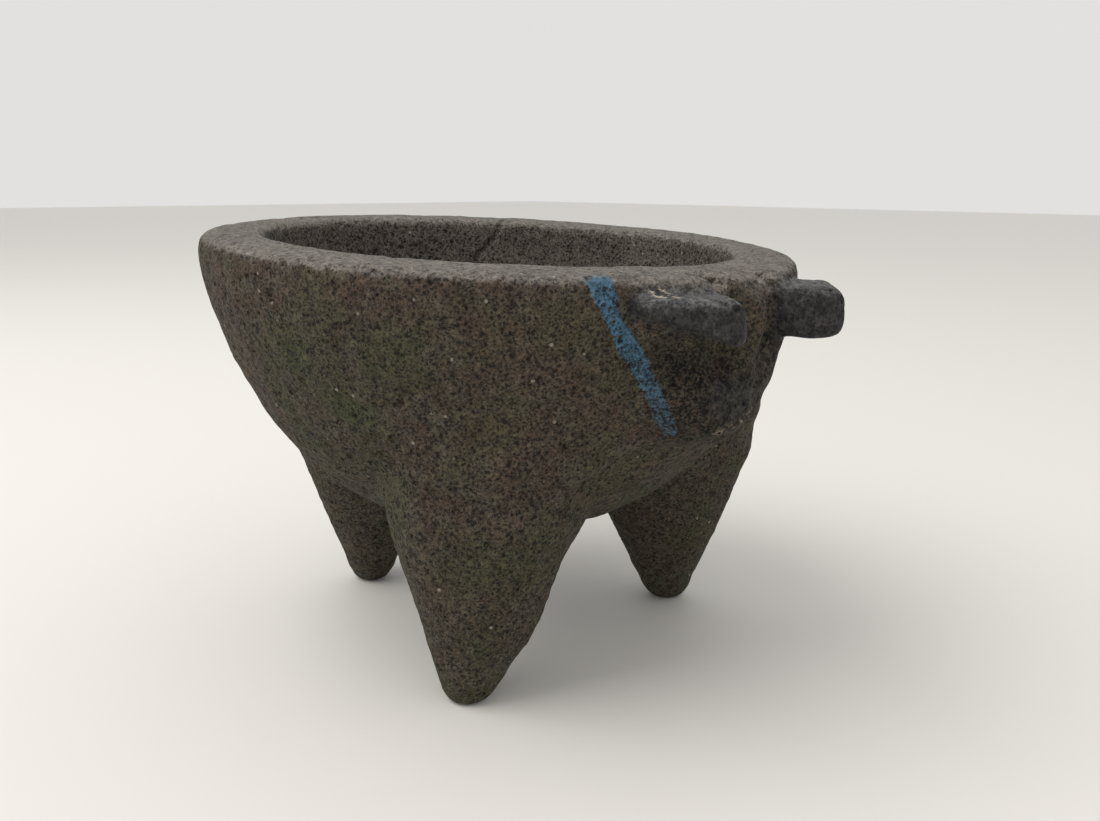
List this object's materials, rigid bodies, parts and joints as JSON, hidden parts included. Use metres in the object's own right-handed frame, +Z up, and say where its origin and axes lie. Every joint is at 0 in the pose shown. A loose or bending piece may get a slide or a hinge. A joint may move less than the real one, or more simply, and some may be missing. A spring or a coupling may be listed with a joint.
{
  "type": "molcajete",
  "caption": "Three-legged grinding bowl carved from porous basalt, with a small animal head under its sloping rim and conical legs.",
  "frame": {"origin": "on the floor, under the middle of the whole stone's box, where the three feet stand", "axes": "+X from the bowl towards the animal head, +Y to the animal's left, +Z up; the bowl's own axis stands 9.9 mm behind the origin"},
  "size_m": [0.2352, 0.203, 0.1509],
  "materials": {
    "rim": "worn porous stone",
    "wall": "rough porous stone, mossy, with one brushed stroke of dull blue paint",
    "base": "rough porous stone",
    "head": "rough porous stone",
    "snout": "rubbed stone",
    "ear_right": "rubbed stone",
    "ear_left": "rubbed stone",
    "leg_front_right": "rough porous stone, mossy",
    "leg_front_left": "rough porous stone",
    "leg_rear": "rough porous stone"
  },
  "bodies": {
    "root": {"rim": "rim", "wall": "wall", "base": "base", "head": "head", "snout": "snout", "ear_right": "ear_right", "ear_left": "ear_left", "leg_front_right": "leg_front_right", "leg_front_left": "leg_front_left", "leg_rear": "leg_rear"}
  },
  "joints": []
}
